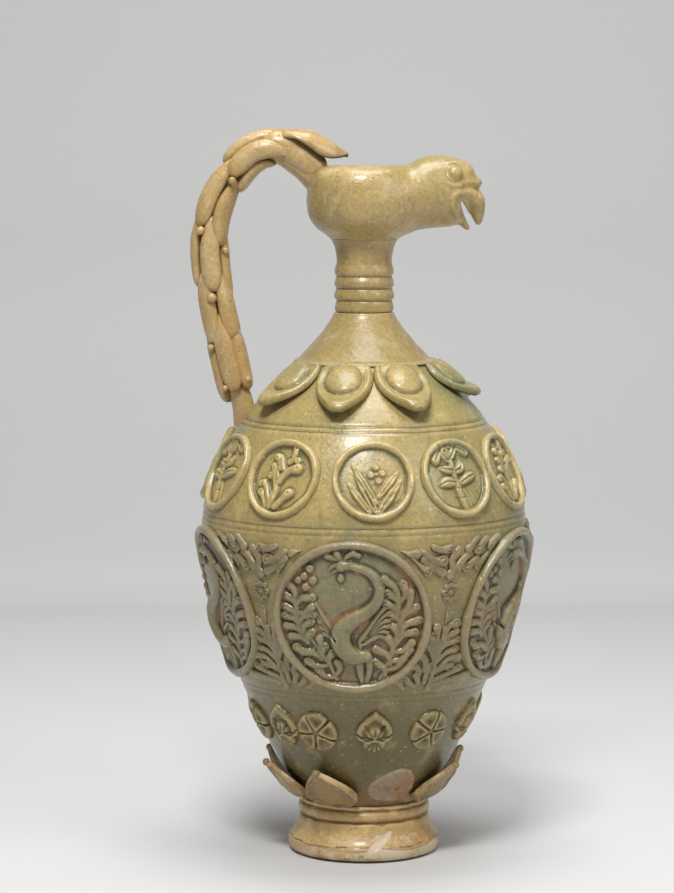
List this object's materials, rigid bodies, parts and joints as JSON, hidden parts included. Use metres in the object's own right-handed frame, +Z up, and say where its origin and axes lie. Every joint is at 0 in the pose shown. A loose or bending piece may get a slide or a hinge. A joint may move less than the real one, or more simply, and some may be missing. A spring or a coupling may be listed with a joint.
{
  "type": "bird-head ewer",
  "caption": "Tall glazed ceramic ewer: cup mouth growing into a bird's head, ridged neck, arched leaf-clad handle, and applied petals, roundels and medallions on a swelling body.",
  "frame": {"origin": "centre of the flat base, on the ground plane", "axes": "+Z up along the pot's axis, +X the way the bird looks, -X the handle, -Y the front seen in the picture"},
  "size_m": [0.2139, 0.2102, 0.4521],
  "materials": {
    "glaze_body": "glossy olive glaze, crackled and pooled green in the lines",
    "glaze_lower": "glossy grey-olive glaze, darker lower down",
    "glaze_ornament": "glossy olive glaze, thin on high points and rust-orange in crevices",
    "glaze_neck": "glossy tan-olive glaze with fine speckle",
    "glaze_handle": "glossy pale ochre glaze",
    "glaze_foot": "ochre glaze, worn away to a chalky body at the rim"
  },
  "bodies": {
    "root": {"bird_head": "glaze_neck", "body_lower": "glaze_lower", "body_upper": "glaze_body", "eye_left": "glaze_neck", "eye_right": "glaze_neck", "foot": "glaze_foot", "handle_core": "glaze_handle", "handle_leaf_1a": "glaze_handle", "handle_leaf_1b": "glaze_handle", "handle_leaf_2a": "glaze_handle", "handle_leaf_2b": "glaze_handle", "handle_leaf_2c": "glaze_handle", "handle_leaf_2d": "glaze_handle", "handle_leaf_3a": "glaze_handle", "handle_leaf_3b": "glaze_handle", "handle_leaf_3c": "glaze_handle", "handle_leaf_3d": "glaze_handle", "handle_leaf_4a": "glaze_handle", "handle_leaf_4b": "glaze_handle", "handle_leaf_4c": "glaze_handle", "handle_leaf_4d": "glaze_handle", "handle_leaf_5a": "glaze_handle", "handle_leaf_5b": "glaze_handle", "handle_leaf_5c": "glaze_handle", "handle_leaf_5d": "glaze_handle", "handle_leaf_6a": "glaze_handle", "handle_leaf_6b": "glaze_handle", "handle_leaf_6c": "glaze_handle", "handle_leaf_6d": "glaze_handle", "handle_leaf_end": "glaze_handle", "lower_beak": "glaze_neck", "medallion_1": "glaze_ornament", "medallion_2": "glaze_ornament", "medallion_3": "glaze_ornament", "medallion_4": "glaze_ornament", "medallion_5": "glaze_ornament", "neck": "glaze_neck", "nostril_lump": "glaze_neck", "roundel_1": "glaze_ornament", "roundel_10": "glaze_ornament", "roundel_11": "glaze_ornament", "roundel_2": "glaze_ornament", "roundel_3": "glaze_ornament", "roundel_4": "glaze_ornament", "roundel_5": "glaze_ornament", "roundel_6": "glaze_ornament", "roundel_7": "glaze_ornament", "roundel_8": "glaze_ornament", "roundel_9": "glaze_ornament", "shoulder_petal_1": "glaze_body", "shoulder_petal_2": "glaze_body", "shoulder_petal_3": "glaze_body", "shoulder_petal_4": "glaze_body", "shoulder_petal_5": "glaze_body", "shoulder_petal_6": "glaze_body", "shoulder_petal_7": "glaze_body", "upper_beak": "glaze_neck"}
  },
  "joints": []
}
